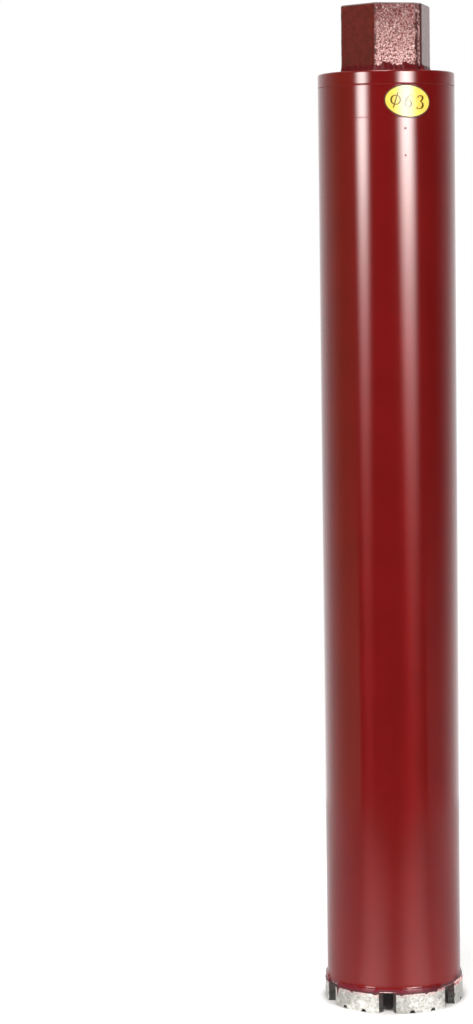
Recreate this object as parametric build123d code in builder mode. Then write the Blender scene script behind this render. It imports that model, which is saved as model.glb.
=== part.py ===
"""Wet diamond core bit for concrete: a painted steel barrel with a crown of sintered diamond
segments brazed to its lower end, and an end cap that carries a hexagonal screw connector.

It stands on its crown. The origin is the centre of the cutting plane, and +Z runs up the drilling
axis to the connector. A flat of the hexagon and the size label face -Y. All sizes are in
millimetres. A turn is an angle in degrees about +Z, from the -Y direction towards +X.
"""

import math
import os

from build123d import *

# Crown: the segments stand out past both sides of the barrel's wall, so that the barrel runs free
# in its hole. They are pressed in a mould, with ends parallel to the segment's own middle plane.
crown_diameter = 63.0
outer_relief = 1.0
inner_relief = 0.4
segment_count = 6
segment_height = 9.0
segment_corner_radius = 0.8
water_gap = 7.9
crown_turn = 7.0

# Two grooves across the cutting face of each segment, with a round root and flared mouth.
chip_groove_spacing = 10.4
chip_groove_width = 1.7
chip_groove_depth = 1.3
chip_groove_root_radius = 0.8
chip_groove_mouth_radius = 0.5

# Brazed joints: a film between segment and barrel, and a ramp of filler on the ledge outside,
# which stands clear of the barrel's curved side by a hair.
braze_film = 0.2
braze_ramp_height = 4.0
braze_ramp_clearance = 0.05
braze_setback = 0.12

# Barrel: a plain steel tube, cut square at both ends and deburred outside at the lower one.
barrel_wall = 1.8
barrel_length = 404.8
barrel_edge_break = 0.3

# End cap: a turned disc, with a spigot that centres it in the barrel.
cap_rim_thickness = 6.0
cap_edge_radius = 0.5
cap_spigot_length = 6.0
cap_spigot_chamfer = 0.8
cap_spigot_clearance = 0.05

# Seam weld: fills the V groove between cap and barrel, to just under their surface.
seam_groove_depth = 0.5
seam_weld_recess = 0.15

# Connector: a hexagon for a 36 mm wrench, with a spigot in the end cap. One of its upright
# corners is ground off to a flat.
hex_across_flats = 36.0
hex_height = 30.0
hex_edge_break = 0.5
ground_corner_leg = 2.65
ground_corner_turn = 30.0
connector_spigot_diameter = 28.0
connector_spigot_clearance = 0.05

# Screw socket M22 x 2.5 and, below it, the passage that lets cooling water into the barrel.
# The hole is as wide as the thread's crests, and the thread's own form isn't cut.
thread_diameter = 22.0
thread_pitch = 2.5
thread_length = 32.0
water_passage_diameter = 17.0

# Connector weld: a steep fillet weld round the foot of the hexagon, with a thin upper edge.
connector_weld_height = 3.4
connector_weld_width = 1.9
connector_weld_lip = 0.3

# Size label: an oval sticker on the barrel, just below the seam.
label_width = 21.1
label_height = 13.9
label_thickness = 0.12
label_tilt = 5.5
label_turn = 1.4
label_edge_gap = 0.1

# Sizes that follow from the ones above.
crown_radius = crown_diameter / 2
barrel_radius = crown_radius - outer_relief
barrel_bore_radius = barrel_radius - barrel_wall
crown_bore_radius = barrel_bore_radius - inner_relief
gap_half_angle = math.asin(water_gap / 2 / crown_radius)
segment_length = 2 * crown_radius * math.sin(math.pi / segment_count - gap_half_angle)
segment_turns = [crown_turn + number * 360 / segment_count for number in range(segment_count)]
barrel_bottom = segment_height + braze_film
barrel_top = barrel_bottom + barrel_length
cap_top = barrel_top + cap_rim_thickness
cap_bottom = barrel_top - cap_spigot_length
connector_top = cap_top + hex_height
thread_bottom = connector_top - thread_length
# The crests of an internal metric thread lie 5/8 of its triangle's height inside its diameter.
thread_crest_radius = thread_diameter / 2 - 5 / 8 * thread_pitch * math.sqrt(3) / 2
# How far a cutting shape runs past what it cuts.
beyond = 10.0


def outward(turn):
    """Unit vector that points away from the axis, at a turn."""
    return Vector(math.sin(math.radians(turn)), -math.cos(math.radians(turn)), 0)


def rightward(turn):
    """Unit vector that points right, seen from outside at a turn."""
    return Vector(math.cos(math.radians(turn)), math.sin(math.radians(turn)), 0)


def level_plane(turn, height):
    """Level plane at a height, whose own -Y axis points outward at a turn."""
    return Plane(origin=(0, 0, height), x_dir=rightward(turn), z_dir=(0, 0, 1))


def upright_plane(turn, height):
    """Upright plane through the axis that faces outward at a turn, with its origin at a height."""
    return Plane(origin=(0, 0, height), x_dir=rightward(turn), z_dir=outward(turn))


def ring(outer_radius, inner_radius):
    """Draws a ring, in the sketch at hand."""
    Circle(outer_radius)
    Circle(inner_radius, mode=Mode.SUBTRACT)


def strip(width, mode=Mode.ADD):
    """Draws a strip from the axis outward, past the crown, in the sketch at hand."""
    Rectangle(width, 2 * crown_radius, align=(Align.CENTER, Align.MAX), mode=mode)


def hexagon():
    """Draws the connector's hexagon with its corners broken, in the sketch at hand."""
    RegularPolygon(hex_across_flats / 2, 6, major_radius=False)
    corners = vertices().sort_by_distance(outward(ground_corner_turn) * hex_across_flats)
    chamfer(corners[1:], hex_edge_break)
    chamfer(corners[0], ground_corner_leg)


def finish(piece, name):
    """Labels a piece and writes its STEP file."""
    piece.part.label = name
    export_step(piece.part, f"parts/{name}.step")


os.makedirs("parts", exist_ok=True)


# Diamond segments.
for number, segment_turn in enumerate(segment_turns, start=1):
    with BuildPart() as segment:
        with BuildSketch(level_plane(segment_turn, 0)):
            ring(crown_radius, crown_bore_radius)
            strip(segment_length, mode=Mode.INTERSECT)
            fillet(vertices().group_by(Axis.Y)[0], segment_corner_radius)
        extrude(amount=segment_height)
        with BuildSketch(upright_plane(segment_turn, 0)):
            Rectangle(segment_length, beyond, align=(Align.CENTER, Align.MAX))
            with GridLocations(chip_groove_spacing, 0, 2, 1):
                Rectangle(chip_groove_width, 2 * chip_groove_depth)
            mouths = vertices().group_by(Axis.Y)[-2].sort_by(Axis.X)[1:-1]
            fillet(mouths, chip_groove_mouth_radius)
            fillet(vertices().group_by(Axis.Y)[-1], chip_groove_root_radius)
        extrude(amount=crown_radius + beyond, mode=Mode.SUBTRACT)
    finish(segment, f"segment_{number}")


# Brazed joints, one over each segment and set back a little from its edges.
for number, segment_turn in enumerate(segment_turns, start=1):
    with BuildPart() as braze_joint:
        with BuildSketch(Plane.XZ):
            Polygon(
                (crown_bore_radius + braze_setback, segment_height),
                (crown_radius - braze_setback, segment_height),
                (barrel_radius + braze_ramp_clearance, barrel_bottom + braze_ramp_height),
                (barrel_radius + braze_ramp_clearance, barrel_bottom),
                (crown_bore_radius + braze_setback, barrel_bottom),
                align=None,
            )
        revolve(axis=Axis.Z)
        with BuildSketch(level_plane(segment_turn, segment_height)):
            strip(segment_length - 2 * braze_setback)
        extrude(amount=braze_film + braze_ramp_height, mode=Mode.INTERSECT)
    finish(braze_joint, f"braze_joint_{number}")


# Barrel, with its half of the seam's groove round the top.
with BuildPart() as core_barrel:
    with BuildSketch(Plane.XY.offset(barrel_bottom)):
        ring(barrel_radius, barrel_bore_radius)
    extrude(amount=barrel_length)
    rims = core_barrel.edges().group_by(Axis.Z)
    chamfer(rims[-1].sort_by(SortBy.LENGTH)[-1], seam_groove_depth)
    chamfer(rims[0].sort_by(SortBy.LENGTH)[-1], barrel_edge_break)
finish(core_barrel, "core_barrel")


# End cap, with the seam's other half round the rim's lower edge.
cap_bore_radius = connector_spigot_diameter / 2 + connector_spigot_clearance
cap_spigot_radius = barrel_bore_radius - cap_spigot_clearance
with BuildPart() as end_cap:
    with BuildSketch(Plane.XZ):
        Polygon(
            (cap_bore_radius, cap_bottom),
            (cap_spigot_radius, cap_bottom),
            (cap_spigot_radius, barrel_top),
            (barrel_radius - seam_groove_depth, barrel_top),
            (barrel_radius, barrel_top + seam_groove_depth),
            (barrel_radius, cap_top),
            (cap_bore_radius, cap_top),
            align=None,
        )
        chamfer(vertices().group_by(Axis.Y)[0].sort_by(Axis.X)[-1], cap_spigot_chamfer)
        fillet(vertices().group_by(Axis.Y)[-1].sort_by(Axis.X)[-1], cap_edge_radius)
    revolve(axis=Axis.Z)
finish(end_cap, "end_cap")


# Seam weld.
with BuildPart() as cap_seam_weld:
    with BuildSketch(Plane.XZ):
        weld_depth = seam_groove_depth - seam_weld_recess
        Polygon(
            (barrel_radius - seam_groove_depth, barrel_top),
            (barrel_radius - seam_weld_recess, barrel_top - weld_depth),
            (barrel_radius - seam_weld_recess, barrel_top + weld_depth),
            align=None,
        )
    revolve(axis=Axis.Z)
finish(cap_seam_weld, "cap_seam_weld")


# Connector: spigot, hexagon, screw socket and water passage.
with BuildPart() as hex_connector:
    with BuildSketch(Plane.XY.offset(cap_bottom)):
        Circle(connector_spigot_diameter / 2)
    extrude(amount=cap_top - cap_bottom)
    with BuildSketch(Plane.XY.offset(cap_top)):
        hexagon()
    extrude(amount=hex_height)
    chamfer(hex_connector.edges().group_by(Axis.Z)[-1], hex_edge_break)
    with BuildSketch(Plane.XY.offset(thread_bottom)):
        Circle(thread_crest_radius)
    extrude(amount=thread_length, mode=Mode.SUBTRACT)
    socket_rim = hex_connector.edges().group_by(Axis.Z)[-1].filter_by(GeomType.CIRCLE)
    chamfer(socket_rim, thread_diameter / 2 - thread_crest_radius)
    with BuildSketch(Plane.XY.offset(cap_bottom)):
        Circle(water_passage_diameter / 2)
    extrude(amount=connector_top - cap_bottom, mode=Mode.SUBTRACT)
finish(hex_connector, "hex_connector")


# Connector weld: slopes from its foot on the cap to its lip against the flats.
with BuildPart() as connector_weld:
    with BuildSketch(Plane.XY.offset(cap_top)):
        hexagon()
        offset(amount=connector_weld_width, kind=Kind.ARC)
    with BuildSketch(Plane.XY.offset(cap_top + connector_weld_height)):
        hexagon()
        offset(amount=connector_weld_lip, kind=Kind.ARC)
    loft()
    with BuildSketch(Plane.XY.offset(cap_top)):
        hexagon()
    extrude(amount=connector_weld_height, mode=Mode.SUBTRACT)
finish(connector_weld, "connector_weld")


# Size label: an oval cut out of a thin skin round the barrel.
label_half_height = math.hypot(
    label_width / 2 * math.sin(math.radians(label_tilt)),
    label_height / 2 * math.cos(math.radians(label_tilt)),
)
label_middle = barrel_top - seam_groove_depth - label_edge_gap - label_half_height
with BuildPart() as size_label:
    with BuildSketch(Plane.XY.offset(label_middle - label_width)):
        ring(barrel_radius + label_thickness, barrel_radius)
    extrude(amount=2 * label_width)
    with BuildSketch(upright_plane(label_turn, label_middle)):
        Ellipse(label_width / 2, label_height / 2, rotation=-label_tilt)
    extrude(amount=barrel_radius + beyond, mode=Mode.INTERSECT)
finish(size_label, "size_label")
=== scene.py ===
"""Looks of a wet diamond core bit: a red painted steel barrel with six diamond segments brazed to
its foot, and an end cap that carries a hexagonal screw connector.

The camera, the walls, the lamps and the table are placed in metres. The bit's own sizes are in
millimetres until a piece is finished. A turn is an angle in degrees about +Z, from -Y towards +X.
"""
import math

import bmesh
import bpy
from mathutils import Matrix, Vector, noise


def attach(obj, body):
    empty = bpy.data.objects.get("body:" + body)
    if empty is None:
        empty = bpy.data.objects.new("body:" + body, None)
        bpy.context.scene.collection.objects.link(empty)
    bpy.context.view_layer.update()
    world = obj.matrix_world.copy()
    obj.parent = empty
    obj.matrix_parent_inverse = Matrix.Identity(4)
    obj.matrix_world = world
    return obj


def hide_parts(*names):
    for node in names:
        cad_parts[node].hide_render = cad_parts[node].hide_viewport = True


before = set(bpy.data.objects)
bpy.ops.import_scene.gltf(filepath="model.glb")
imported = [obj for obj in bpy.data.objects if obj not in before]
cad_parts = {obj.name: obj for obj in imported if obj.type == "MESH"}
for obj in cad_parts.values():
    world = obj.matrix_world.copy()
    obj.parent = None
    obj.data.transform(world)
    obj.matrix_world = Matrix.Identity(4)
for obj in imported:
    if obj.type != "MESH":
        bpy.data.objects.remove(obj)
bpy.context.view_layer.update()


# Camera: it stands a good metre away, a little left of the front, and looks slightly down at the
# middle of the upright bit with a long lens.
camera_sensor = 36
camera_lens = 93.053
camera_turn = -17.5
camera_distance = 1.19628
camera_height = 0.34034
camera_heading = 14.169
camera_dip = 5.529
camera_roll = -0.835


def outward(turn):
    """Unit vector that points away from the axis, at a turn."""
    return Vector((math.sin(math.radians(turn)), -math.cos(math.radians(turn)), 0))


camera = bpy.data.objects.new("camera", bpy.data.cameras.new("camera"))
bpy.context.scene.collection.objects.link(camera)
camera.data.sensor_width = camera_sensor
camera.data.lens = camera_lens
camera.location = outward(camera_turn) * camera_distance + Vector((0, 0, camera_height))
aim = Matrix.Rotation(math.radians(-camera_heading), 4, "Z")
aim @= Matrix.Rotation(math.radians(90 - camera_dip), 4, "X")
aim @= Matrix.Rotation(math.radians(camera_roll), 4, "Z")
camera.rotation_euler = aim.to_euler()
bpy.context.scene.camera = camera
bpy.context.scene.view_settings.view_transform = "Standard"


# Studio walls: white paper behind and beside the bit, an open dark room in front of it and a soft
# pale ceiling. The camera itself sees plain white. An edge is a pair of cosines from a wall's turn,
# or of sines above the table.
room_front_turn = camera_turn + 2
room_dark = (0.035, 0.030, 0.025)
room_white = (1.05, 1.05, 1.05)
room_dark_end = 0.45
room_white_start = 0.86
room_greys = ((0.56, 0.15), (0.63, 0.34), (0.74, 0.65))
warm_wall = (0.26, 0.20, 0.09)
warm_wall_turn = camera_turn - 80
warm_wall_edge = (0.75, 0.98)
low_light = 0.26
low_light_edge = (-0.09, -0.17)
low_light_sides = (0.84, 0.5)
ceiling_grey = (0.36, 0.36, 0.36)
ceiling_edge = (0.3, 0.8)
plain_white = (1, 1, 1)


def add_node(tree, kind, inputs=None, **settings):
    """Adds a shader node. Each input is given a value, or the socket that feeds it."""
    node = tree.nodes.new("ShaderNode" + kind)
    for name, value in settings.items():
        setattr(node, name, value)
    for name, value in (inputs or {}).items():
        if isinstance(value, bpy.types.NodeSocket):
            tree.links.new(value, node.inputs[name])
        elif node.inputs[name].type == "RGBA":
            node.inputs[name].default_value = (*value, 1)
        else:
            node.inputs[name].default_value = value
    return node


def maths(tree, operation, *values):
    """The result of an operation on values or sockets."""
    return add_node(tree, "Math", dict(enumerate(values)), operation=operation).outputs[0]


def ramp(tree, value, low, high, to_low=0.0, to_high=1.0, kind="SMOOTHSTEP"):
    """Maps a range of one value to another, smoothly unless its kind says otherwise."""
    return add_node(tree, "MapRange", {
        "Value": value, "From Min": low, "From Max": high, "To Min": to_low, "To Max": to_high},
        interpolation_type=kind).outputs[0]


def mixed(tree, share, first, second, blend="MIX"):
    """Mixes two colours by a share, or adds a share of the second with the blend ADD."""
    return add_node(tree, "MixRGB", {"Fac": share, "Color1": first, "Color2": second},
                    blend_type=blend).outputs[0]


def toward(tree, direction, turn):
    """Cosine between a direction and a turn."""
    return add_node(tree, "VectorMath", {0: direction, 1: outward(turn)},
                    operation="DOT_PRODUCT").outputs["Value"]


world = bpy.data.worlds.new("studio")
bpy.context.scene.world = world
world.use_nodes = True
tree = world.node_tree
tree.nodes.clear()
direction = add_node(tree, "TexCoord").outputs["Generated"]
frontness = toward(tree, direction, room_front_turn)
wall = add_node(tree, "ValToRGB", {"Fac": ramp(tree, frontness, 1.0, -1.0, kind="LINEAR")})
wall.color_ramp.elements[0].position = room_dark_end
wall.color_ramp.elements[0].color = (*room_dark, 1)
wall.color_ramp.elements[1].position = room_white_start
wall.color_ramp.elements[1].color = (*room_white, 1)
for place, shade in room_greys:
    wall.color_ramp.elements.new(place).color = (shade, shade, shade, 1)
warmth = ramp(tree, toward(tree, direction, warm_wall_turn), *warm_wall_edge)
walls = mixed(tree, warmth, wall.outputs["Color"], warm_wall, "ADD")
rise = add_node(tree, "SeparateXYZ", {0: direction}).outputs["Z"]
lowness = ramp(tree, rise, *low_light_edge, 0.0, low_light, kind="LINEAR")
asideness = ramp(tree, frontness, *low_light_sides)
walls = mixed(tree, maths(tree, "MULTIPLY", lowness, asideness), walls, plain_white, "ADD")
room = mixed(tree, ramp(tree, rise, *ceiling_edge, kind="LINEAR"), walls, ceiling_grey)
path = add_node(tree, "LightPath")
seen = maths(tree, "MAXIMUM", path.outputs["Is Camera Ray"], path.outputs["Is Transmission Ray"])
background = add_node(tree, "Background", {"Color": mixed(tree, seen, room, plain_white), "Strength": 1.0})
tree.links.new(background.outputs[0], add_node(tree, "OutputWorld").inputs["Surface"])


# Studio lamps: two tall soft strips in front, brightest beside the bit's head, fading towards the
# table and leaning a little, and a soft round lamp overhead.
strip_names = ("strip_left", "strip_right")
strip_turns = (-57.1, 19.6)
strip_widths = (0.56, 0.75)
strip_strengths = (24.0, 28.5)
strip_fades = (0.076, 0.084)
strip_leans = (0.08, 0.30)
strip_distance = 1.0
strip_height = 0.85
strip_foot = -0.20
strip_full_height = 0.43
strip_glow = 0.05
strip_head_start = 0.82
strip_head_share = 0.2
strip_colour = (1.0, 0.975, 0.945)
overhead_size = 0.5
overhead_energy = 11
overhead_place = (-0.28, -0.50, 1.40)
overhead_aim = (0, 0, 0.2)

for name, turn, width, strength, fade, lean in zip(
        strip_names, strip_turns, strip_widths, strip_strengths, strip_fades, strip_leans):
    sheet = bmesh.new()
    sheet.loops.layers.uv.new("place")
    bmesh.ops.create_grid(sheet, x_segments=1, y_segments=1, size=0.5, calc_uvs=True)
    bmesh.ops.scale(sheet, vec=(width, strip_height, 1), verts=sheet.verts)
    for v in sheet.verts:
        v.co.x += lean * v.co.y
    stand = Matrix.Translation(outward(turn) * strip_distance + Vector((0, 0, strip_foot + strip_height / 2)))
    stand @= Matrix.Rotation(math.radians(turn + 180), 4, "Z") @ Matrix.Rotation(math.radians(90), 4, "X")
    bmesh.ops.transform(sheet, matrix=stand, verts=sheet.verts)
    mesh = bpy.data.meshes.new(name)
    sheet.to_mesh(mesh)
    sheet.free()
    strip = bpy.data.objects.new(name, mesh)
    bpy.context.scene.collection.objects.link(strip)
    strip.visible_camera = False
    glow = bpy.data.materials.new(name)
    glow.use_nodes = True
    tree = glow.node_tree
    tree.nodes.clear()
    place = add_node(tree, "SeparateXYZ", {0: add_node(tree, "TexCoord").outputs["UV"]})
    aside = maths(tree, "ABSOLUTE", maths(tree, "SUBTRACT", place.outputs["X"], 0.5))
    across = ramp(tree, aside, 0.0, 0.5, 1.0, 0.0, kind="SMOOTHERSTEP")
    climb = strip_full_height - strip_foot
    below = ramp(tree, place.outputs["Y"], 0.0, climb / strip_height, -climb / fade, 0.0, kind="LINEAR")
    height = maths(tree, "MULTIPLY_ADD", maths(tree, "EXPONENT", below), strength, strip_glow)
    head = ramp(tree, place.outputs["Y"], strip_head_start, 1.0, 1.0, strip_head_share, kind="LINEAR")
    shine = maths(tree, "MULTIPLY", maths(tree, "MULTIPLY", height, across), head)
    lamp = add_node(tree, "Emission", {"Color": strip_colour, "Strength": shine})
    tree.links.new(lamp.outputs[0], add_node(tree, "OutputMaterial").inputs["Surface"])
    mesh.materials.append(glow)

overhead = bpy.data.lights.new("overhead", "AREA")
overhead.shape = "DISK"
overhead.size = overhead_size
overhead.energy = overhead_energy
overhead_lamp = bpy.data.objects.new("overhead", overhead)
overhead_lamp.location = overhead_place
downward = Vector(overhead_aim) - overhead_lamp.location
overhead_lamp.rotation_euler = downward.to_track_quat("-Z", "Y").to_euler()
bpy.context.scene.collection.objects.link(overhead_lamp)


# Table top: matt white board that takes the bit's shadow and fades into the white round it. Its
# colour is painted darkest in the closed corners under the crown, a painted shade, and the white lift
# the camera sees is left off close round the crown, a painted shade there too. Shiny paint sees the
# board as a glow, dim towards the camera, with a painted lane of light under each strip, and the
# board glows a painted pool of light up at the bit's foot.
table_radius = 0.45
table_steps = 96
table_fade = (0.6, 0.95)
table_white = (0.78, 0.77, 0.77)
painted_contact_shade = (0.03, 0.03, 0.03)
contact_reach = 0.004
contact_edge = (0.15, 0.6)
mirror_range = (-0.20, 0.41)
mirror_light = (0.98, 0.02)
strip_gloss = 1.6
lane_edge = 0.90
lane_swing = 0.8
painted_pool_light = 1.7
pool_edge = (0.05, 0.22)
table_lift = 0.45
lift_edge = (0.0322, 0.0365)


def glowing(tree, strength):
    """A white light of this strength."""
    return add_node(tree, "Emission", {"Color": plain_white, "Strength": strength}).outputs[0]


board = bmesh.new()
bmesh.ops.create_circle(board, segments=table_steps, radius=table_radius, cap_ends=True)
mesh = bpy.data.meshes.new("table")
board.to_mesh(mesh)
board.free()
table = bpy.data.objects.new("table", mesh)
bpy.context.scene.collection.objects.link(table)
paper = bpy.data.materials.new("white_board")
paper.use_nodes = True
tree = paper.node_tree
tree.nodes.clear()
spot = add_node(tree, "TexCoord").outputs["Object"]
near = add_node(tree, "VectorMath", {0: spot}, operation="LENGTH").outputs["Value"]
# Painted shade: the board's colour darkens where it is closed in, as in the corners under the crown.
contact = add_node(tree, "AmbientOcclusion", {"Distance": contact_reach})
openness = ramp(tree, contact.outputs["AO"], *contact_edge, kind="LINEAR")
tone = mixed(tree, openness, painted_contact_shade, table_white)
matt = add_node(tree, "BsdfDiffuse", {"Color": tone}).outputs[0]
# Painted reflection: shiny paint sees the board as a glow, dim towards the camera and brighter in a lane
# under each strip.
falling = ramp(tree, toward(tree, spot, camera_turn), *mirror_range, *mirror_light, kind="LINEAR")
facing = add_node(tree, "VectorMath", {0: spot}, operation="NORMALIZE").outputs[0]
for turn in strip_turns:
    lane = toward(tree, facing, turn * lane_swing)
    lane = ramp(tree, lane, lane_edge, 1.0, 1.0, 1 + strip_gloss, kind="LINEAR")
    falling = maths(tree, "MULTIPLY", falling, lane)
# A painted pool of light: for light that bounces off it, the board glows up at the bit's foot.
pool = ramp(tree, near, *pool_edge, painted_pool_light, 0.0, kind="LINEAR")
matt_with_painted_pool = add_node(tree, "AddShader", {0: matt, 1: glowing(tree, pool)})
# The white lift the camera sees is left off close round the crown, a painted shade round its foot.
lift = ramp(tree, near, *lift_edge, 0.0, table_lift, kind="LINEAR")
lit = add_node(tree, "AddShader", {0: matt, 1: glowing(tree, lift)})
path = add_node(tree, "LightPath")
camera_ray = path.outputs["Is Camera Ray"]
mirrored = maths(tree, "MAXIMUM", path.outputs["Is Glossy Ray"], path.outputs["Is Transmission Ray"])
unseen = add_node(tree, "MixShader", {0: mirrored, 1: matt_with_painted_pool.outputs[0], 2: glowing(tree, falling)})
shown = add_node(tree, "MixShader", {0: camera_ray, 1: unseen.outputs[0], 2: lit.outputs[0]})
fade_start, fade_end = table_fade
edge = ramp(tree, near, fade_start * table_radius, fade_end * table_radius, kind="LINEAR")
faded = maths(tree, "MULTIPLY", edge, camera_ray)
board_look = add_node(tree, "MixShader", {0: faded, 1: shown.outputs[0], 2: glowing(tree, 1.0)})
tree.links.new(board_look.outputs[0], add_node(tree, "OutputMaterial").inputs["Surface"])
mesh.materials.append(paper)


# Barrel: a drawn steel tube, turned outside, deburred at the foot and sprayed with red gloss. The
# coat follows fine turning rings, a scored line and two specks of dust, and at the foot it hangs in
# a bead over a crevice, whose shade is painted dark, and a thin dry edge. The bore keeps the bare
# dark steel.
barrel_radius = 30.5
barrel_bore_radius = 28.7
barrel_foot = 9.2
barrel_head = 414.0
barrel_edge_break = 0.3
barrel_steps = 256
seam_groove_depth = 0.5
score_height = 399.6
score_depth = 0.06
score_half_width = 0.2
score_margin = 0.3
dust_specks = ((-1.8, 394.6, 0.50), (-1.7, 382.9, 0.42))
dust_flatness = 0.3
close_by = 0.1
thin_coat_top = 0.32
crevice_top = 0.84
bead_top = 1.9
bead_waves = ((0.16, 0.35), (0.08, 1.1))
wavy_from = 0.5
wavy_to = 1.6
thick_red = (0.141, 0.0052, 0.0050)
thin_red = (0.155, 0.0058, 0.0056)
steel_dark = (0.10, 0.095, 0.09)
steel_pale = (0.24, 0.22, 0.21)
braze_crimson = (0.122, 0.004, 0.014)
braze_maroon = (0.062, 0.006, 0.0100)
braze_darkening_from = 0.008
braze_darkening_to = 0.022
braze_darkening_wave = 0.02
dry_pink = (0.40, 0.13, 0.13)
dry_white = (0.76, 0.54, 0.52)
crevice_shade_red = (0.045, 0.004, 0.005)

# The coat at the foot: (out from the barrel, up from its foot).
foot_coat = ((-0.05, 0.20), (-0.05, 0.40), (-0.12, 0.62), (-0.12, 0.80), (0.24, 0.90), (0.30, 1.10),
             (0.22, 1.7), (0.12, 2.4), (0.03, 3.2), (0.0, 4.0), (0.0, 4.4))


def turned(section, steps):
    """Spins a closed section of (radius, height) corners round the axis."""
    shape = bmesh.new()
    corners = [shape.verts.new((radius, 0, height)) for radius, height in section]
    sides = [shape.edges.new(pair) for pair in zip(corners, corners[1:] + corners[:1])]
    bmesh.ops.spin(shape, geom=corners + sides, axis=(0, 0, 1), cent=(0, 0, 0),
                   angle=2 * math.pi, steps=steps, use_merge=True)
    bmesh.ops.recalc_face_normals(shape, faces=shape.faces)
    return shape


def uneven(place, *layers):
    """Sum of layers of noise at a place: each has a height, a fineness per mm and, if any, a shift."""
    return sum(height * noise.noise(place * fineness + Vector(shift[0] if shift else (0, 0, 0)))
               for height, fineness, *shift in layers)


def finished(shape, name, *materials, crease=35):
    """Makes a bmesh in millimetres an object in metres, smooth except over its creases."""
    bmesh.ops.scale(shape, vec=(0.001, 0.001, 0.001), verts=shape.verts)
    for side in shape.faces:
        side.smooth = True
    for edge in shape.edges:
        edge.smooth = len(edge.link_faces) < 2 or edge.calc_face_angle(0) < math.radians(crease)
    mesh = bpy.data.meshes.new(name)
    shape.to_mesh(mesh)
    shape.free()
    for material in materials:
        mesh.materials.append(material)
    piece = bpy.data.objects.new(name, mesh)
    bpy.context.scene.collection.objects.link(piece)
    return piece


def new_material(name, roughness, metallic=0.0, colour=plain_white):
    """A material, its shader tree and its surface. A pattern may replace its colour."""
    material = bpy.data.materials.new(name)
    material.use_nodes = True
    surface = material.node_tree.nodes["Principled BSDF"]
    surface.inputs["Base Color"].default_value = (*colour, 1)
    surface.inputs["Roughness"].default_value = roughness
    surface.inputs["Metallic"].default_value = metallic
    return material, material.node_tree, surface


def own_place(tree, axis=None):
    """The place on the piece in metres, or one axis of it."""
    place = add_node(tree, "TexCoord").outputs["Object"]
    return add_node(tree, "SeparateXYZ", {0: place}).outputs[axis] if axis else place


def texture(tree, scale, stretch=(1, 1, 1), detail=2.0, roughness=0.5, offset=(0, 0, 0)):
    """Noise on the piece's own coordinates, with a scale in features per metre."""
    place = add_node(tree, "Mapping", {"Vector": own_place(tree), "Location": offset, "Scale": stretch})
    return add_node(tree, "TexNoise", {
        "Vector": place.outputs[0], "Scale": scale, "Detail": detail, "Roughness": roughness}).outputs["Fac"]


def coloured(tree, surface, pattern, low, high, first, second):
    """Colours the surface from the first to the second where the pattern rises from low to high."""
    blend = mixed(tree, ramp(tree, pattern, low, high), first, second)
    tree.links.new(blend, surface.inputs["Base Color"])


def bumped(tree, surface, *layers):
    """Feeds layers of (height, distance in metres, strength) to the surface as bumps."""
    normal = None
    for height, distance, strength in layers:
        inputs = {"Height": height, "Distance": distance, "Strength": strength}
        if normal:
            inputs["Normal"] = normal
        normal = add_node(tree, "Bump", inputs).outputs["Normal"]
    tree.links.new(normal, surface.inputs["Normal"])


barrel_paint, tree, surface = new_material("barrel_paint", roughness=0.36, metallic=0.18)
surface.inputs["Specular IOR Level"].default_value = 0.0
surface.inputs["Anisotropic"].default_value = 0.92
surface.inputs["Anisotropic Rotation"].default_value = 0.25
surface.inputs["Coat Weight"].default_value = 1.0
surface.inputs["Coat Roughness"].default_value = 0.14
surface.inputs["Coat IOR"].default_value = 1.5
around = add_node(tree, "Tangent", direction_type="RADIAL", axis="Z")
tree.links.new(around.outputs[0], surface.inputs["Tangent"])
cloud = texture(tree, scale=35, detail=3)
coloured(tree, surface, cloud, low=0.35, high=0.65, first=thick_red, second=thin_red)
rings = texture(tree, scale=14, stretch=(1, 1, 62), detail=3, roughness=0.6)
fine_rings = texture(tree, scale=20, stretch=(1, 1, 160), detail=2)
peel = texture(tree, scale=700, detail=1)
bumped(tree, surface, (rings, 0.00003, 0.35), (fine_rings, 0.00001, 0.5), (peel, 0.000004, 0.4))

bare_steel, tree, surface = new_material("bare_steel", roughness=0.42, metallic=0.85)
scale = texture(tree, scale=160, detail=4)
coloured(tree, surface, scale, low=0.4, high=0.65, first=steel_dark, second=steel_pale)
bumped(tree, surface, (scale, 0.00006, 0.4))

braze_paint, tree, surface = new_material("braze_paint", roughness=0.30)
surface.inputs["Specular IOR Level"].default_value = 0.4
clouds = texture(tree, scale=220, detail=3)
# The coat darkens raggedly towards +X.
plus_x_darkening = maths(tree, "MULTIPLY_ADD", clouds, braze_darkening_wave, own_place(tree, "X"))
coloured(tree, surface, plus_x_darkening, braze_darkening_from, braze_darkening_to, braze_crimson, braze_maroon)
bumped(tree, surface, (texture(tree, scale=420, detail=3), 0.0002, 0.6))

thin_paint, tree, surface = new_material("thin_paint", roughness=0.4, metallic=0.25)
patchy = texture(tree, scale=500, detail=3)
coloured(tree, surface, patchy, low=0.35, high=0.65, first=dry_pink, second=dry_white)
bumped(tree, surface, (patchy, 0.0001, 0.5))

# Painted shade for the crevice at the barrel's foot and the dark line at each braze ramp's foot.
crevice_shade, tree, surface = new_material("crevice_painted_shade", roughness=0.5, colour=crevice_shade_red)
bumped(tree, surface, (texture(tree, scale=700, detail=2), 0.0001, 0.6))

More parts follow.
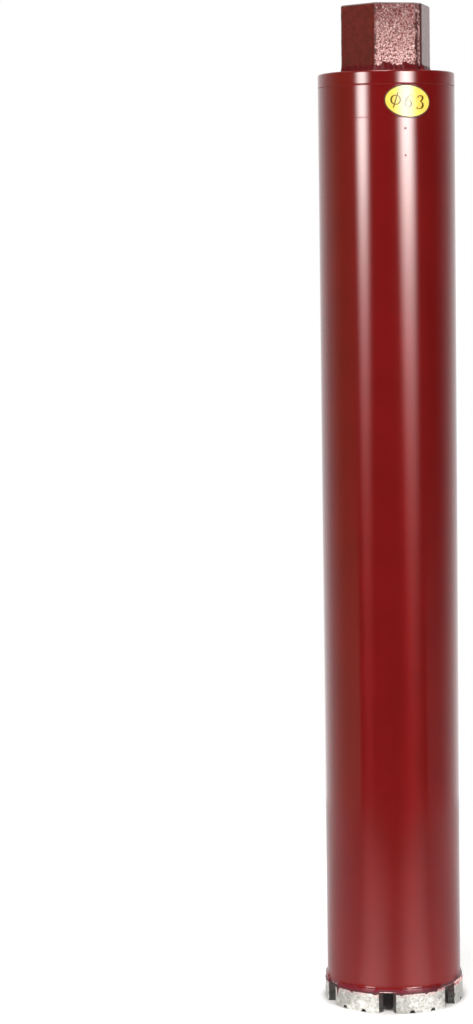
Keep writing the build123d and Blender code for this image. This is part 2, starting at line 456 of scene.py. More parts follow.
barrel = turned((
    (barrel_bore_radius, barrel_foot),
    (barrel_radius - barrel_edge_break, barrel_foot),
    *((barrel_radius + out, barrel_foot + up) for out, up in foot_coat),
    (barrel_radius, score_height - score_margin),
    (barrel_radius, score_height - score_half_width),
    (barrel_radius - score_depth, score_height),
    (barrel_radius, score_height + score_half_width),
    (barrel_radius, score_height + score_margin),
    (barrel_radius, barrel_head - seam_groove_depth),
    (barrel_radius - seam_groove_depth, barrel_head),
    (barrel_bore_radius, barrel_head),
), barrel_steps)
for v in barrel.verts:
    if wavy_from < v.co.z - barrel_foot < wavy_to:
        v.co.z += uneven(v.co, *bead_waves)
for turn, height, size in dust_specks:
    swell = Matrix.Translation(outward(turn) * barrel_radius + Vector((0, 0, height)))
    swell @= Matrix.Rotation(math.radians(turn), 4, "Z")
    swell @= Matrix.Diagonal((size, dust_flatness * size, size, 1))
    bmesh.ops.create_uvsphere(barrel, u_segments=24, v_segments=12, radius=1, matrix=swell)
for side in barrel.faces:
    middle = side.calc_center_median()
    up = middle.z - barrel_foot
    if middle.xy.length < barrel_bore_radius + close_by:
        side.material_index = 1
    elif up < thin_coat_top:
        side.material_index = 2
    # Above the thin edge the crevice is painted dark, as its shade.
    elif up < crevice_top:
        side.material_index = 3
    elif up < bead_top:
        side.material_index = 4
core_barrel = finished(barrel, "painted_barrel", barrel_paint, bare_steel, thin_paint, crevice_shade, braze_paint)
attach(core_barrel, "root")
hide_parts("core_barrel")


# End cap: a turned steel disc with a rounded rim, whose spigot sits in the head of the barrel.
# It is sprayed together with the barrel.
cap_top = 420.0
cap_foot = 408.0
cap_bore_radius = 14.05
cap_spigot_radius = 28.65
cap_spigot_chamfer = 0.8
cap_edge_radius = 0.8
cap_edge_margin = 0.05
touching = 0.01

cap = turned((
    (cap_bore_radius, cap_foot),
    (cap_spigot_radius - cap_spigot_chamfer, cap_foot),
    (cap_spigot_radius, cap_foot + cap_spigot_chamfer),
    (cap_spigot_radius, barrel_head),
    (barrel_radius - seam_groove_depth, barrel_head),
    (barrel_radius, barrel_head + seam_groove_depth),
    (barrel_radius, cap_top - cap_edge_radius - cap_edge_margin),
    (barrel_radius, cap_top),
    (cap_bore_radius, cap_top),
), barrel_steps)
rim = [edge for edge in cap.edges if all(
    abs(v.co.z - cap_top) < touching and v.co.xy.length > barrel_radius - close_by for v in edge.verts)]
bmesh.ops.bevel(cap, geom=rim, offset=cap_edge_radius, offset_type="OFFSET", segments=5, profile=0.5,
                affect="EDGES", material=-1)
end_cap = finished(cap, "turned_cap", barrel_paint)
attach(end_cap, "root")
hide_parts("end_cap")


# Seam weld: a thin bead that fills most of the groove between cap and barrel, dressed down below
# their surface and painted with them. A dull hairline is left along its middle.
seam_steps = 384
seam_weld_recess = 0.03
seam_line_depth = 0.07
seam_line_half_width = 0.15
seam_ripple = (0.015, 1.3)
seam_outside = 0.4
hairline_red = (0.140, 0.0075, 0.0075)

seam_radius = barrel_radius - seam_weld_recess
seam = turned((
    (barrel_radius - seam_groove_depth, barrel_head),
    (seam_radius, barrel_head - seam_groove_depth + seam_weld_recess),
    (seam_radius, barrel_head - seam_line_half_width),
    (seam_radius - seam_line_depth, barrel_head),
    (seam_radius, barrel_head + seam_line_half_width),
    (seam_radius, barrel_head + seam_groove_depth - seam_weld_recess),
), seam_steps)
for v in seam.verts:
    if v.co.xy.length > barrel_radius - seam_outside:
        v.co.xy *= 1 + uneven(v.co, seam_ripple) / barrel_radius
for side in seam.faces:
    if abs(side.calc_center_median().z - barrel_head) < seam_line_half_width:
        side.material_index = 1
seam_paint, tree, surface = new_material("seam_paint", roughness=0.5, colour=hairline_red)
surface.inputs["Specular IOR Level"].default_value = 0.1
cap_seam_weld = finished(seam, "seam_bead", barrel_paint, seam_paint)
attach(cap_seam_weld, "root")
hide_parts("cap_seam_weld")


# Connector: hexagon bar with its rough hot rolled skin under paint. The front flat's colour carries a
# pink painted sheen, strongest at its foot, for the glints of light off that skin. The upper rim is
# grey and some corners have near-black dashes. One corner is ground flat, with near-black marks along
# it and dark chips whose pink flecks are painted glints. An M22 x 2.5 thread is cut above a water
# passage, and a spigot below holds the connector in the cap.
hex_across_flats = 36.0
hex_top = 450.0
hex_sides = 6
hex_edge_break = 0.5
hex_rows = 62
hex_flat_cuts = 42
hex_facet_cuts = 9
flat_least_length = 10
facet_least_length = 2
hex_smooth_foot = 0.5
hex_dents = ((0.03, 0.4), (0.055, 1.25, (7, 3, 1)))
ground_corner_leg = 2.65
ground_corner_turn = 30
ground_reach = 0.125
ground_dents = (0.10, 1.1)
ground_stretch = 1.3
ground_face = 18.5
ground_half_width = 2.45
ground_mark_strip = (-1.7, -0.3)
ground_mark_side = 1.0
chatter_along = 0.4
chatter_up = 0.55
chatter_gap = -0.25
chatter_chip = 0.2
corner_mark_radius = 20.5
corner_dashes = (1.0, 0.6)
corner_dash_level = 0.12
upper_rim_radius = 16.5
rim_least_slope = 0.9
front_flat_skin = 0.3
hex_dark_red = (0.085, 0.008, 0.007)
hex_red = (0.118, 0.011, 0.010)
front_flat_red = (0.105, 0.012, 0.012)
painted_sheen_pink = (0.72, 0.42, 0.40)
sheen_fade_foot = 0.423
sheen_fade_top = 0.451
sheen_fade_share = 0.12
mark_black = (0.030, 0.006, 0.006)
mark_red = (0.090, 0.016, 0.015)
chip_red = (0.07, 0.012, 0.012)
painted_glint_pink = (0.55, 0.32, 0.31)
rim_grey = (0.20, 0.16, 0.155)
oiled_steel = (0.22, 0.21, 0.20)
wiped_steel = (0.42, 0.41, 0.40)
connector_spigot_radius = 14.0
water_passage_radius = 8.5
socket_steps = 144
thread_foot = 418.0
thread_pitch = 2.5
thread_root_radius = 11.0
thread_crest_radius = 9.6468
thread_mouth_radius = 11.8
thread_mouth_depth = 0.8
thread_start = 1.6
thread_turns = 11.6
thread_steps = 60
ridge_sink = 0.2
ridge_half_foot = 1.2
ridge_half_crest = thread_pitch / 8


def hexagon_loop(shape, height):
    """Draws the connector's outline at a height, its flats divided, and returns its edges."""
    half_side = math.radians(180 / hex_sides)
    corner_radius = hex_across_flats / 2 / math.cos(half_side)
    corners = bmesh.ops.create_circle(shape, segments=hex_sides, radius=corner_radius, cap_ends=True)["verts"]
    bmesh.ops.rotate(shape, verts=corners, cent=(0, 0, 0), matrix=Matrix.Rotation(half_side, 3, "Z"))
    ground = min(corners, key=lambda v: (v.co - outward(ground_corner_turn) * corner_radius).length)
    broken = [v for v in corners if v is not ground]
    for geom, leg in (([ground], ground_corner_leg), (broken, hex_edge_break)):
        bmesh.ops.bevel(shape, geom=geom, offset=leg, offset_type="OFFSET", segments=1, profile=0.5,
                        affect="VERTICES", material=-1)
    bmesh.ops.delete(shape, geom=list(shape.faces), context="FACES_ONLY")
    flats = [edge for edge in shape.edges if edge.calc_length() > flat_least_length]
    facets = [edge for edge in shape.edges if facet_least_length < edge.calc_length() < flat_least_length]
    bmesh.ops.subdivide_edges(shape, edges=flats, cuts=hex_flat_cuts)
    bmesh.ops.subdivide_edges(shape, edges=facets, cuts=hex_facet_cuts)
    bmesh.ops.translate(shape, vec=(0, 0, height), verts=shape.verts)
    return list(shape.edges)


def extruded(shape, edges, vec=(0, 0, 0)):
    """Extrudes a loop of edges by a vector and returns the new loop and its corners."""
    new = bmesh.ops.extrude_edge_only(shape, edges=edges)["geom"]
    corners = [part for part in new if isinstance(part, bmesh.types.BMVert)]
    bmesh.ops.translate(shape, vec=vec, verts=corners)
    return [part for part in new if isinstance(part, bmesh.types.BMEdge)], corners


bar = bmesh.new()
loop = hexagon_loop(bar, cap_top)
for _ in range(hex_rows):
    loop, corners = extruded(bar, loop, (0, 0, (hex_top - hex_edge_break - cap_top) / hex_rows))
for v in bar.verts:
    if v.co.z > cap_top + hex_smooth_foot:
        lump = uneven(v.co, *hex_dents)
        if (v.co.xy.to_3d().normalized() - outward(ground_corner_turn)).length < ground_reach:
            lump += uneven(Vector((v.co.x, v.co.y, v.co.z * ground_stretch)), ground_dents)
        v.co.xy += v.co.xy.normalized() * lump
loop, corners = extruded(bar, loop, (0, 0, hex_edge_break))
head_share = 1 - hex_edge_break / (hex_across_flats / 2)
bmesh.ops.scale(bar, vec=(head_share, head_share, 1), verts=corners)

section = [bar.verts.new((radius, 0, height)) for radius, height in (
    (connector_spigot_radius, cap_top),
    (connector_spigot_radius, cap_foot),
    (water_passage_radius, cap_foot),
    (water_passage_radius, thread_foot),
    (thread_root_radius, thread_foot),
    (thread_root_radius, hex_top - thread_mouth_depth),
    (thread_mouth_radius, hex_top),
)]
lines = [bar.edges.new(pair) for pair in zip(section, section[1:])]
bmesh.ops.spin(bar, geom=section + lines, axis=(0, 0, 1), cent=(0, 0, 0), angle=2 * math.pi,
               steps=socket_steps, use_merge=True)
open_edges = [edge for edge in bar.edges if edge.is_boundary]
top_ring = [edge for edge in open_edges if edge.verts[0].co.z > hex_top - close_by]
bottom_ring = [edge for edge in open_edges if edge.verts[0].co.z < cap_top + close_by]
bmesh.ops.bridge_loops(bar, edges=top_ring)
bmesh.ops.bridge_loops(bar, edges=bottom_ring)
bmesh.ops.recalc_face_normals(bar, faces=bar.faces)
for side in bar.faces:
    middle = side.calc_center_median()
    if middle.xy.length < thread_mouth_radius and middle.z < hex_top - 2 * close_by:
        side.material_index = 1
    elif (middle.z > hex_top - hex_edge_break and middle.xy.length > upper_rim_radius
          and side.normal.z < rim_least_slope):
        side.material_index = 4
    elif cap_top + touching < middle.z < hex_top - close_by:
        place = middle.dot(outward(ground_corner_turn + 90))
        chatter = noise.noise(Vector((place * chatter_along, 0, middle.z * chatter_up)))
        if middle.dot(outward(ground_corner_turn)) > ground_face and abs(place) < ground_half_width:
            if ground_mark_strip[0] < place < ground_mark_strip[1] and chatter > chatter_gap or place > ground_mark_side:
                side.material_index = 2
            # Elsewhere on the ground facet: dark chips with painted glints.
            elif chatter < chatter_chip or place > ground_mark_strip[1]:
                side.material_index = 3
        elif middle.xy.length > corner_mark_radius and uneven(middle, corner_dashes) > corner_dash_level:
            side.material_index = 2
        # The front flat takes the painted sheen.
        elif middle.dot(outward(0)) > hex_across_flats / 2 - front_flat_skin:
            side.material_index = 5

ridge = bmesh.new()
ridge_corners = [ridge.verts.new((radius, 0, thread_foot + thread_start + height)) for radius, height in (
    (thread_root_radius + ridge_sink, -ridge_half_foot),
    (thread_crest_radius, -ridge_half_crest),
    (thread_crest_radius, ridge_half_crest),
    (thread_root_radius + ridge_sink, ridge_half_foot),
)]
cut = ridge.faces.new(ridge_corners)
bmesh.ops.spin(ridge, geom=list(ridge.verts) + list(ridge.edges) + [cut], axis=(0, 0, 1), cent=(0, 0, 0),
               angle=2 * math.pi * thread_turns, steps=int(thread_turns * thread_steps),
               dvec=(0, 0, thread_pitch / thread_steps))
bmesh.ops.recalc_face_normals(ridge, faces=ridge.faces)
for side in ridge.faces:
    side.material_index = 1
ridge_mesh = bpy.data.meshes.new("thread_ridge")
ridge.to_mesh(ridge_mesh)
ridge.free()
bar.from_mesh(ridge_mesh)

connector_paint, tree, surface = new_material("connector_paint", roughness=0.22)
surface.inputs["IOR"].default_value = 1.5
grit = texture(tree, scale=900, detail=2, roughness=0.5)
pits = texture(tree, scale=420, detail=3, roughness=0.6, offset=(3, 1, 2))
coloured(tree, surface, pits, low=0.35, high=0.7, first=hex_dark_red, second=hex_red)
bumped(tree, surface, (pits, 0.0002, 0.4), (grit, 0.0002, 0.8))

# Painted sheen: red flecked with pink, pinkest at the foot of the front flat, for the glints of light off its
# rough skin.
front_painted_sheen, tree, surface = new_material("front_flat_painted_sheen", roughness=0.20)
surface.inputs["IOR"].default_value = 1.5
peaks = add_node(tree, "TexVoronoi", {"Vector": own_place(tree), "Scale": 1000, "Randomness": 1.0})
grain = texture(tree, scale=1400, detail=2, offset=(5, 2, 7))
fade = ramp(tree, own_place(tree, "Z"), sheen_fade_foot, sheen_fade_top, 1.0, sheen_fade_share)
sheen_share = maths(tree, "MULTIPLY", ramp(tree, grain, low=0.34, high=0.66), fade)
tree.links.new(mixed(tree, sheen_share, front_flat_red, painted_sheen_pink), surface.inputs["Base Color"])
bumped(tree, surface, (peaks.outputs["Distance"], 0.00025, 1.0), (grain, 0.0002, 0.8))

# Near-black marks along the ground facet and in dashes on some corners.
dark_edge_marks, tree, surface = new_material("dark_edge_marks", roughness=0.5)
scuffs = texture(tree, scale=700, detail=3)
coloured(tree, surface, scuffs, low=0.35, high=0.65, first=mark_black, second=mark_red)
bumped(tree, surface, (scuffs, 0.0002, 0.8))

# Dark red chips flecked with pink; the pink flecks are painted glints, the sparkle of light off the ground
# facet.
chipped_paint_and_glints, tree, surface = new_material("chipped_paint_and_glints", roughness=0.4)
chips = texture(tree, scale=1300, stretch=(1, 1, 0.8), detail=3)
coloured(tree, surface, chips, low=0.42, high=0.60, first=chip_red, second=painted_glint_pink)
bumped(tree, surface, (chips, 0.0003, 0.8))

# Grey on the faces of the upper rim.
upper_rim, tree, surface = new_material("upper_rim", roughness=0.4, metallic=0.4, colour=rim_grey)
bumped(tree, surface, (texture(tree, scale=800, detail=2), 0.0001, 0.6))

cut_steel, tree, surface = new_material("cut_steel", roughness=0.3, metallic=0.9)
marks = texture(tree, scale=300, stretch=(1, 1, 4), detail=3)
coloured(tree, surface, marks, low=0.4, high=0.65, first=oiled_steel, second=wiped_steel)
bumped(tree, surface, (marks, 0.00002, 0.4))
hex_connector = finished(bar, "threaded_hexagon", connector_paint, cut_steel, dark_edge_marks, chipped_paint_and_glints,
                         upper_rim, front_painted_sheen, crease=18)
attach(hex_connector, "root")
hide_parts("hex_connector")


# Connector weld: a lumpy fillet bead laid by hand round the foot of the hexagon, with a ragged
# upper edge and spatter above it, all under the same paint.
weld_width = 1.9
weld_height = 2.9
weld_lumps = ((1.0, 0.55), (0.5, 1.5))
weld_width_change = 0.16
weld_height_change = 0.18
weld_side_loss = 0.65
weld_side_power = 6
weld_peak_height = 2.6
weld_peaks = (1.0, 0.30, (4, 9, 2))
weld_spatter = (0.9, 1.7)
weld_bulges = (0.10, 1.1)
weld_face_from = 0.1
corner_blend = 0.35
weld_red = (0.078, 0.0030, 0.0045)

# The bead's section: (share of its width out from the hexagon, share of its height up).
weld_rows = ((-0.5, 0.0), (-0.5, 0.9), (0.02, 1.0), (0.16, 0.86), (0.34, 0.66), (0.56, 0.42), (0.80, 0.2),
             (1.0, 0.0), (0.9, -0.05))


def off_the_flats(place):
    """Unit vector that leads away from the hexagon's outline at a place on it."""
    reach = Vector((0, 0, 0))
    for flat in range(hex_sides):
        away = outward(flat * 360 / hex_sides)
        reach += away * max(0.0, away.dot(place) - hex_across_flats / 2 + corner_blend)
    return reach.normalized()


weld = bmesh.new()
first = hexagon_loop(weld, 0.0)
base = {v: (v.co.copy(), 0) for v in weld.verts}
loop = first
for row in range(1, len(weld_rows)):
    loop, corners = extruded(weld, loop)
    base.update({v: (v.co.copy(), row) for v in corners})
bmesh.ops.bridge_loops(weld, edges=first + loop)
for v, (place, row) in base.items():
    aside, up = weld_rows[row]
    bead = uneven(place, *weld_lumps)
    peaks = weld_peak_height * max(0.0, uneven(place, weld_peaks)) + uneven(place, weld_spatter)
    flank = weld_side_loss * (abs(place.x) / place.length) ** weld_side_power
    width = weld_width * (1 + weld_width_change * bead) * (1 - flank) if aside > 0 else 1.0
    height = weld_height * (1 + weld_height_change * bead) + peaks
    v.co = place + off_the_flats(place) * aside * width + Vector((0, 0, cap_top + up * height))
    if aside > weld_face_from and up > weld_face_from:
        v.co += v.co.xy.normalized().to_3d() * uneven(v.co, weld_bulges)
bmesh.ops.recalc_face_normals(weld, faces=weld.faces)

weld_paint, tree, surface = new_material("weld_paint", roughness=0.40, colour=weld_red)
surface.inputs["Specular IOR Level"].default_value = 0.12
bumped(tree, surface, (texture(tree, scale=500, detail=3), 0.0002, 0.5))
connector_weld = finished(weld, "hexagon_bead", weld_paint, crease=180)
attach(connector_weld, "root")
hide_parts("connector_weld")


# Size label: an oval vinyl sticker, yellow with a dark rim round it, stuck on by hand with a
# slight tilt. It is printed with the crown's diameter in serif figures.
label_width = 21.1
label_height = 13.9
label_thickness = 0.12
label_tilt = -5.5
label_turn = 0.9
label_middle = 406.4
label_steps = 96
label_inset_across = 0.55
label_inset_up = 0.25
label_edge = 0.57
label_field = 0.94
label_rim_start = 0.503
ink_thickness = 0.012
ink_gap = 0.01
ink_step = 0.25
glyph_spacing = 5.6
stroke_weight = 1.3
pen_radius = 0.4
vinyl_yellow = (0.91, 0.66, 0.12)
vinyl_amber = (0.87, 0.55, 0.085)
edge_brown = (0.030, 0.010, 0.003)
ink_olive = (0.085, 0.062, 0.004)

# Rings of the label from its middle out, as shares of its reach.
label_rings = (0, 0.1, 0.2, 0.3, 0.4, 0.5, 0.6, 0.7, 0.8, 0.88, label_field, 1)

# Each figure is a pen stroke: (right, up, half width) at the points it passes.
diameter_bowl = ((-2.15, 0.0, 0.36), (-1.5, 1.6, 0.26), (0.0, 2.1, 0.14), (1.5, 1.6, 0.26), (2.15, 0.0, 0.36),
                 (1.5, -1.6, 0.26), (0.0, -2.1, 0.14), (-1.5, -1.6, 0.26))
diameter_bar = ((0.75, 3.6, 0.22), (0.0, 0.0, 0.24), (-0.75, -3.6, 0.22))
six = ((1.5, 2.8, 0.14), (0.5, 2.45, 0.2), (-0.7, 1.3, 0.34), (-1.45, -0.5, 0.42), (-1.1, -2.1, 0.36),
       (0.0, -2.85, 0.16), (1.25, -2.1, 0.36), (1.45, -0.8, 0.4), (0.7, 0.4, 0.2), (-0.4, 0.45, 0.12),
       (-1.3, -0.5, 0.1))
three = ((-1.45, 1.75, 0.2), (-1.0, 2.6, 0.18), (0.0, 2.95, 0.18), (1.1, 2.4, 0.36), (1.0, 1.3, 0.36),
         (0.2, 0.55, 0.16), (-0.3, 0.3, 0.1), (0.7, 0.15, 0.18), (1.5, -0.8, 0.42), (1.3, -2.0, 0.38),
         (0.3, -2.85, 0.16), (-0.9, -2.9, 0.16), (-1.5, -2.4, 0.36))


def on_the_barrel(place):
    """Wraps a place on the flat label round the barrel."""
    tilted = Matrix.Rotation(math.radians(label_tilt), 3, "Z") @ place
    radius = barrel_radius + tilted.z
    turn = label_turn + math.degrees(math.asin(tilted.x / barrel_radius))
    return outward(turn) * radius + Vector((0, 0, label_middle + tilted.y))


def pen_stroke(points, right, closed=False):
    """A stroke of ink through the points, as a mesh of a round pen's width."""
    path = bpy.data.curves.new("stroke", "CURVE")
    path.dimensions = "3D"
    path.bevel_depth = 1.0
    path.bevel_resolution = 3
    path.use_fill_caps = True
    line = path.splines.new("NURBS")
    line.points.add(len(points) - 1)
    for point, (x, y, half) in zip(line.points, points):
        point.co = (x + right, y, 0, 1)
        point.radius = half * stroke_weight
    line.order_u = 3
    line.use_endpoint_u = not closed
    line.use_cyclic_u = closed
    line.resolution_u = 8
    drawn = bpy.data.objects.new("stroke", path)
    mesh = bpy.data.meshes.new_from_object(drawn)
    bpy.data.objects.remove(drawn)
    return mesh


label = bmesh.new()
spokes = [label.verts.new((share, 0, 0)) for share in label_rings]
lines = [label.edges.new(pair) for pair in zip(spokes, spokes[1:])]
bmesh.ops.spin(label, geom=spokes + lines, axis=(0, 0, 1), cent=(0, 0, 0), angle=2 * math.pi,
               steps=label_steps, use_merge=True)
bmesh.ops.remove_doubles(label, verts=label.verts, dist=0.0001)
for v in label.verts:
    reach = v.co.length
    if reach > touching:
        field = min(1, reach / label_field)
        grow = label_edge * max(0.0, (reach - label_field) / (1 - label_field))
        away = v.co.normalized()
        v.co.x = away.x * ((label_width / 2 - label_inset_across) * field + grow)
        v.co.y = away.y * ((label_height / 2 - label_inset_up) * field + grow)
for side in label.faces:
    place = side.calc_center_median()
    across = place.x / (label_width - 2 * label_inset_across)
    if math.hypot(across, place.y / (label_height - 2 * label_inset_up)) > label_rim_start:
        side.material_index = 1
bmesh.ops.recalc_face_normals(label, faces=label.faces)
bmesh.ops.solidify(label, geom=list(label.faces), thickness=label_thickness)
sunk = min(v.co.z for v in label.verts)
bmesh.ops.translate(label, vec=(0, 0, -sunk), verts=label.verts)
for points, right, closed in ((diameter_bowl, -glyph_spacing, True), (diameter_bar, -glyph_spacing, False),
                              (six, 0, False), (three, glyph_spacing, False)):
    stroke = bmesh.new()
    stroke.from_mesh(pen_stroke(points, right, closed))
    bmesh.ops.scale(stroke, vec=(1, 1, ink_thickness / pen_radius), verts=stroke.verts)
    bmesh.ops.translate(stroke, vec=(0, 0, label_thickness + ink_gap), verts=stroke.verts)
    long_edges = [edge for edge in stroke.edges if edge.calc_length() > ink_step]
    bmesh.ops.subdivide_edges(stroke, edges=long_edges, cuts=2)
    for side in stroke.faces:
        side.material_index = 2
    stroke_mesh = bpy.data.meshes.new("stroke")
    stroke.to_mesh(stroke_mesh)
    stroke.free()
    label.from_mesh(stroke_mesh)
for v in label.verts:
    v.co = on_the_barrel(v.co)
bmesh.ops.recalc_face_normals(label, faces=label.faces)

vinyl, tree, surface = new_material("label_vinyl", roughness=0.2)
mottle = texture(tree, scale=180, detail=2)
coloured(tree, surface, mottle, low=0.3, high=0.7, first=vinyl_yellow, second=vinyl_amber)
bumped(tree, surface, (mottle, 0.00003, 0.3))
# A dark rim round the yellow.
label_dark_rim, tree, surface = new_material("label_edge", roughness=0.5, colour=edge_brown)
bumped(tree, surface, (texture(tree, scale=900), 0.00002, 0.5))
label_ink, tree, surface = new_material("label_ink", roughness=0.2, colour=ink_olive)
bumped(tree, surface, (texture(tree, scale=900), 0.00002, 0.5))
size_label = finished(label, "oval_sticker", vinyl, label_dark_rim, label_ink)
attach(size_label, "root")
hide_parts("size_label")


# Diamond segments: metal powder and diamond grit, pressed and sintered into grainy grey blocks with
# worn corners and two shallow chip grooves each across their feet. Paint drifted onto their heads.
# Their ends, inner sides and chip grooves are painted dark as shade, reddish near their heads.
segment_count = 6
segment_height = 9.0
segment_grain = 0.25
segment_skin = 0.28
crown_radius = 31.5
crown_turn = 7.0
grit_coarse = (0.07, 1.6)
grit_fine = (0.05, 3.5)
knock_fineness = 0.8
knock_level = 0.25
knock_depth = 0.25
groove_spacing = 10.4
groove_depth = 1.3
groove_margin = 0.2
groove_reach = 1.7
groove_lift = 0.9
groove_shade_margin = 0.15
groove_shade_inset = 0.35
groove_shade_slope = 0.4
matrix_dark = (0.35, 0.34, 0.305)
matrix_grey = (0.62, 0.60, 0.56)
matrix_pale = (0.79, 0.78, 0.74)
drifted_pink = (0.84, 0.56, 0.55)
shade_black = (0.014, 0.0145, 0.0125)
shade_grey = (0.056, 0.056, 0.050)
flank_maroon = (0.085, 0.008, 0.016)
drift_raggedness = -0.006
dust_edge = (0.0040, 0.0064)
dust_share = 0.7
redness_edge = (0.0, 0.004)
redness_share = 0.3


def drift_height(tree, pattern):
    """Height on the piece in metres, lowered raggedly by a pattern, as drifted paint ends."""
    return maths(tree, "MULTIPLY_ADD", pattern, drift_raggedness, own_place(tree, "Z"))


segment_matrix, tree, surface = new_material("sintered_matrix", roughness=0.29, metallic=0.80)
specks = texture(tree, scale=950, detail=3, roughness=0.65)
stains = texture(tree, scale=380, detail=4, offset=(1, 5, 2))
grey = mixed(tree, ramp(tree, specks, low=0.33, high=0.58), matrix_dark, matrix_grey)
bright = mixed(tree, ramp(tree, stains, low=0.50, high=0.70), grey, matrix_pale)
dust = ramp(tree, drift_height(tree, stains), *dust_edge, 0.0, dust_share)
tree.links.new(mixed(tree, dust, bright, drifted_pink), surface.inputs["Base Color"])
bumped(tree, surface, (specks, 0.00012, 0.5))

# Painted shade for the segments' ends, inner sides and chip grooves: near black, reddish near their heads.
shaded_flank, tree, surface = new_material("painted_shade_flank", roughness=0.6, metallic=0.3)
flank_mottle = texture(tree, scale=600, detail=3)
shaded_tone = mixed(tree, ramp(tree, flank_mottle, low=0.35, high=0.65), shade_black, shade_grey)
redness = ramp(tree, drift_height(tree, flank_mottle), *redness_edge, 0.0, redness_share)
tree.links.new(mixed(tree, redness, shaded_tone, flank_maroon), surface.inputs["Base Color"])
bumped(tree, surface, (flank_mottle, 0.0001, 0.4))


def regrained(node, voxel):
    """A bmesh of a CAD solid, in millimetres, divided evenly and with its edges just eased."""
    shape = bmesh.new()
    shape.from_mesh(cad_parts[node].data)
    bmesh.ops.scale(shape, vec=(1000, 1000, 1000), verts=shape.verts)
    bmesh.ops.remove_doubles(shape, verts=shape.verts, dist=0.001)
    mesh = bpy.data.meshes.new("blank")
    shape.to_mesh(mesh)
    blank = bpy.data.objects.new("blank", mesh)
    bpy.context.scene.collection.objects.link(blank)
    grain = blank.modifiers.new("grain", "REMESH")
    grain.mode = "VOXEL"
    grain.voxel_size = voxel
    even = bpy.data.meshes.new_from_object(blank.evaluated_get(bpy.context.evaluated_depsgraph_get()))
    bpy.data.objects.remove(blank)
    shape.clear()
    shape.from_mesh(even)
    return shape


def turn_from(place, turn):
    """Turn of a place, counted from another turn, between -180 and 180."""
    return (math.degrees(math.atan2(place.x, -place.y)) - turn + 180) % 360 - 180


def segment_turn(number):
    """Turn of the middle of a segment."""
    return crown_turn + (number - 1) * 360 / segment_count


def off_the_groove(place, number):
    """Distance along the crown from a place to the nearer chip groove of its segment."""
    along = math.radians(turn_from(place, segment_turn(number))) * crown_radius
    return abs(abs(along) - groove_spacing / 2)


for number in range(1, segment_count + 1):
    shape = regrained(f"segment_{number}", segment_grain)
    shape.normal_update()
    shift = Vector((number * 11, number * 5, number * 3))
    groove_zone = groove_depth + groove_margin
    for v in shape.verts:
        grit = uneven(v.co, (*grit_coarse, shift), (*grit_fine, shift))
        knock = min(0.0, uneven(v.co, (1.0, knock_fineness, shift * 2)) + knock_level)
        v.co += v.normal * (grit + knock_depth * knock)
        if v.co.z < groove_zone:
            mouth = 1 - off_the_groove(v.co, number) / groove_reach
            v.co.z += groove_lift * max(0.0, mouth) * (1 - v.co.z / groove_zone)
    bmesh.ops.recalc_face_normals(shape, faces=shape.faces)
    for side in shape.faces:
        middle = side.calc_center_median()
        # Ends, inner sides and groove walls take the painted shade of the flanks.
        shade_reach = groove_reach - groove_shade_inset - groove_shade_slope * middle.z
        grooved = middle.z < groove_depth + groove_shade_margin and off_the_groove(middle, number) < shade_reach
        if middle.xy.length < crown_radius - segment_skin or grooved:
            side.material_index = 1
    segment = finished(shape, f"diamond_segment_{number}", segment_matrix, shaded_flank, crease=180)
    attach(segment, "root")
    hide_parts(f"segment_{number}")


# Brazed joints: silver solder that ran out between segment and barrel and froze as a ragged ramp
# on the ledge, tall on one joint and blunt on another. The spray coat covers it and creeps over
# the segment's edge in short runs, and in one long smear. The coat darkens towards +X, and a dark
# line at the ramp's foot is painted shade.
smeared_joint = 6
tall_joint = 2
blunt_joint = 5
braze_half_angle = 23.1
braze_steps = 120
braze_top = 13.2
braze_inner_radius = 30.2
film_radius = 28.42
ledge_radius = (barrel_radius + crown_radius) / 2
ramp_foot_radius = 31.40
ramp_height = 2.9
ramp_steps = 10
ramp_slope = 0.31
ramp_sag = 0.60
ramp_sag_power = 1.3
lip_steps = 7
lip_width = 0.14
outside_from = 30.4
solder_from = 9.1
solder_lumps = ((0.14, 0.22, 0.3), (0.06, 0.8, 0.8))
solder_shrink = 0.03
end_radius = 30.45
end_share = 0.28
end_fade = 4.0
long_end_fade = 8.0
blunt_growth = 4
blunt_limit = 31.35
tall_growth = 1.6
run_least = 0.6
run_length = 3.2
run_power = 1.5
run_waves = (1.0, 0.45, (2, 2, 9))
run_drops = (1.0, 1.2)
run_drop_length = 0.8
run_scale = 1.8
run_dents = (0.04, 1.4)
smear_length = 9.0
smear_place = 2.3
smear_width = 0.7
crown_mm_per_degree = 0.55
bare_edged_joints = (1, 2)
bare_edge_from = 9.35
bare_edge_height = 0.8
bare_edge_least = 0.15
bare_edge_turn = 12
bare_edge_growth = 50
bare_edge_radius = 30.5
dark_lip_radius = 31.2
dark_lip_range = (8.85, 9.35)
barrel_red_radius = 30.3
barrel_red_from = 11.0
barrel_red_waves = (1.2, 0.35)

# Joints whose ramp runs out slowly at one end: 1 is the end at the greater turn, -1 the other.
long_ends = {1: 1, 2: -1}

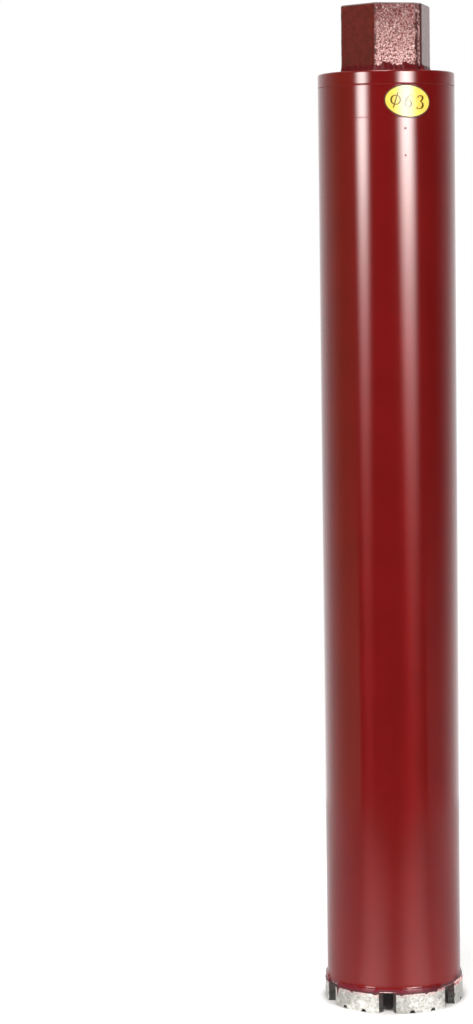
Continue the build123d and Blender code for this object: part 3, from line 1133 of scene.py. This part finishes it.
# The joint's section: the coat's skirt over the segment's edge, the ramp with its thin head, and
# the film of solder on the segment's head.
braze_skirt = [(ledge_radius, 8.9), (31.42, 8.72), (31.56, 8.78), (31.58, 8.9), (31.55, segment_height)]
braze_ramp = []
for step in range(ramp_steps):
    along = step / ramp_steps
    lip = lip_width if step < lip_steps else 0.0
    braze_ramp.append((ramp_foot_radius + lip - ramp_slope * along - ramp_sag * along ** ramp_sag_power,
                       barrel_foot + ramp_height * along))
braze_head = [(30.57, 12.2), (30.53, 12.6), (30.51, braze_top), (braze_inner_radius, braze_top)]
braze_film = [(braze_inner_radius, barrel_foot), (film_radius, barrel_foot), (film_radius, segment_height),
              (ledge_radius, segment_height)]
for number in range(1, segment_count + 1):
    turn = segment_turn(number)
    shape = bmesh.new()
    corners = [shape.verts.new(outward(turn - braze_half_angle) * radius + Vector((0, 0, height)))
               for radius, height in braze_skirt + braze_ramp + braze_head + braze_film]
    cut = shape.faces.new(corners)
    bmesh.ops.spin(shape, geom=corners + list(shape.edges) + [cut], axis=(0, 0, 1), cent=(0, 0, 0),
                   angle=math.radians(2 * braze_half_angle), steps=braze_steps)
    for side in shape.faces:
        middle = side.calc_center_median()
        radius = middle.xy.length
        dryness = max(0.0, min(1.0, (turn_from(middle, 0) - bare_edge_turn) / bare_edge_growth))
        bare_top = bare_edge_from + bare_edge_height * dryness
        dry = number in bare_edged_joints and bare_top > bare_edge_from + bare_edge_least
        if dry and radius > bare_edge_radius and middle.z < bare_top:
            side.material_index = 2
        # A dark line of painted shade at the ramp's foot.
        elif radius > dark_lip_radius and dark_lip_range[0] < middle.z < dark_lip_range[1]:
            side.material_index = 1
        elif radius > barrel_red_radius and middle.z > barrel_red_from + uneven(middle, barrel_red_waves):
            side.material_index = 3
    for v in shape.verts:
        radius = v.co.xy.length
        along = turn_from(v.co, turn)
        around = outward(turn_from(v.co, 0))
        spread = around * ledge_radius
        if radius > outside_from and v.co.z > solder_from:
            low = 1 - (v.co.z - barrel_foot) / (braze_top - barrel_foot)
            for size, fineness, rise in solder_lumps:
                radius += size * noise.noise(spread * fineness + Vector((0, 0, v.co.z * rise))) * low
            radius -= solder_shrink * (1 - low)
            fade = long_end_fade if long_ends.get(number, 0) * along > 0 else end_fade
            full = min(1.0, (braze_half_angle - abs(along)) / fade)
            full = end_share + (1 - end_share) * full * full * (3 - 2 * full)
            radius = end_radius + (radius - end_radius) * full
            if number == blunt_joint:
                radius = min(blunt_limit, end_radius + (radius - end_radius) * blunt_growth)
            if number == tall_joint:
                v.co.z = barrel_foot + (v.co.z - barrel_foot) * tall_growth
        elif radius > outside_from:
            run = run_least + run_length * max(0.0, uneven(spread, run_waves)) ** run_power
            run += run_drop_length * max(0.0, uneven(spread, run_drops))
            if number == smeared_joint:
                beside = ((along + braze_half_angle) * crown_mm_per_degree - smear_place) / smear_width
                run += smear_length * math.exp(-beside ** 2)
            v.co.z = segment_height - (segment_height - v.co.z) * run * run_scale
            radius += uneven(spread, run_dents)
        v.co.xy = around.xy * radius
    bmesh.ops.recalc_face_normals(shape, faces=shape.faces)
    joint = finished(shape, f"painted_braze_{number}", braze_paint, crevice_shade, thin_paint, barrel_paint,
                     crease=180)
    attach(joint, "root")
    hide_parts(f"braze_joint_{number}")
